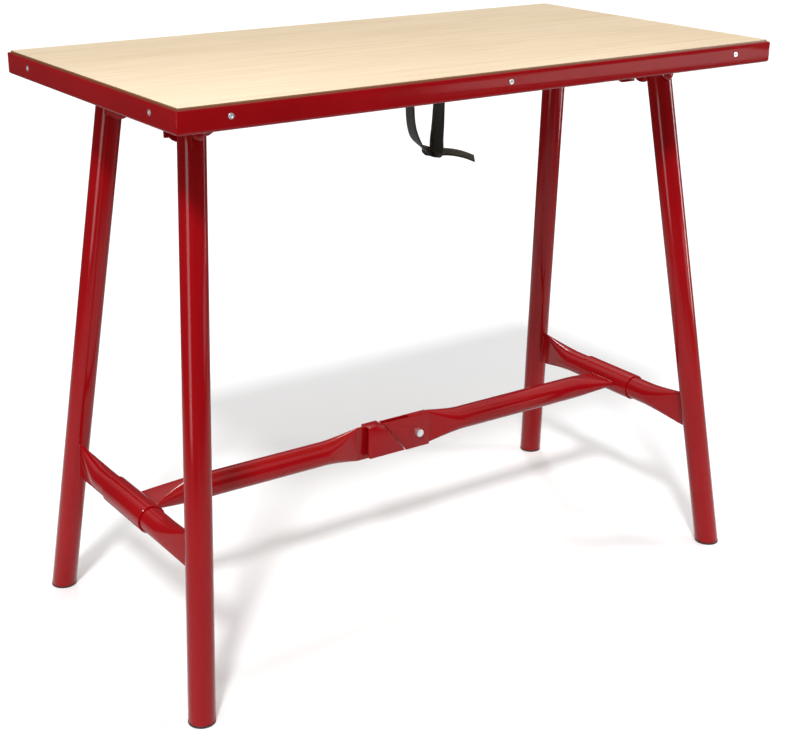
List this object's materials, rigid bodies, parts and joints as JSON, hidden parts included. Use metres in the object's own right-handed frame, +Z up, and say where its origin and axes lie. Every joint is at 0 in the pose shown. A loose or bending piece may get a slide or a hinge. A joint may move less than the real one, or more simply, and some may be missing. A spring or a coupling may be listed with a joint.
{
  "type": "folding work bench",
  "caption": "Folding steel-tube work bench (sawhorse type) with a plywood top in an angle-steel frame, two splayed trestles and a jointed stay.",
  "frame": {"origin": "on the floor under the middle of the bench", "axes": "+X along the top to the right trestle, +Y to the back, +Z up"},
  "size_m": [1.014, 0.525, 0.85],
  "materials": {
    "plywood": "sanded birch plywood, clear sealed",
    "red_paint": "glossy red powder coat",
    "zinc_steel": "bright zinc plating",
    "foot_plastic": "moulded black polyethylene",
    "webbing": "woven black polypropylene webbing"
  },
  "bodies": {
    "table_top": {"plywood_top": "plywood", "frame_front": "red_paint", "frame_back": "red_paint", "frame_left": "red_paint", "frame_right": "red_paint", "frame_screws": "zinc_steel", "bracket_front_left": "red_paint", "bracket_front_right": "red_paint", "bracket_back_left": "red_paint", "bracket_back_right": "red_paint", "bracket_backings": "red_paint", "bracket_rivets": "red_paint", "bracket_screws": "zinc_steel", "pivot_bolts": "red_paint", "pivot_washers": "zinc_steel", "pivot_nuts": "zinc_steel", "strap": "webbing", "strap_screws": "zinc_steel"},
    "left_trestle": {"left_leg_front": "red_paint", "left_leg_back": "red_paint", "left_cross_tube": "red_paint", "left_pivot_bushes": "zinc_steel", "left_foot_front": "foot_plastic", "left_foot_back": "foot_plastic"},
    "right_trestle": {"right_leg_front": "red_paint", "right_leg_back": "red_paint", "right_cross_tube": "red_paint", "right_pivot_bushes": "zinc_steel", "right_foot_front": "foot_plastic", "right_foot_back": "foot_plastic"},
    "left_half_stay": {"left_sleeve": "red_paint", "left_stay": "red_paint", "knuckle_shell": "red_paint"},
    "right_half_stay": {"right_sleeve": "red_paint", "right_stay": "red_paint", "knuckle_cheek_front": "red_paint", "knuckle_cheek_back": "red_paint", "knuckle_bolt": "zinc_steel", "knuckle_washer": "zinc_steel", "knuckle_nut": "zinc_steel"}
  },
  "joints": [
    {"name": "left_trestle_fold", "type": "hinge", "parent": "table_top", "child": "left_trestle", "pos_m": [-0.409, 0, 0.79], "axis": [0, -1, 0], "range_deg": [0, 84.5]},
    {"name": "right_trestle_fold", "type": "hinge", "parent": "table_top", "child": "right_trestle", "pos_m": [0.409, 0, 0.79], "axis": [0, 1, 0], "range_deg": [0, 95]},
    {"name": "left_stay_swing", "type": "hinge", "parent": "left_trestle", "child": "left_half_stay", "pos_m": [-0.46482, 0, 0.229], "axis": [0, 1, 0], "range_deg": [0, 276.2]},
    {"name": "right_stay_swing", "type": "hinge", "parent": "right_trestle", "child": "right_half_stay", "pos_m": [0.46482, 0, 0.229], "axis": [0, -1, 0], "range_deg": [0, 276.2]}
  ],
  "couplings": [
    {"joint": "left_stay_swing", "follows": "left_trestle_fold", "ratio": 3.263},
    {"joint": "right_stay_swing", "follows": "right_trestle_fold", "ratio": 2.902}
  ]
}
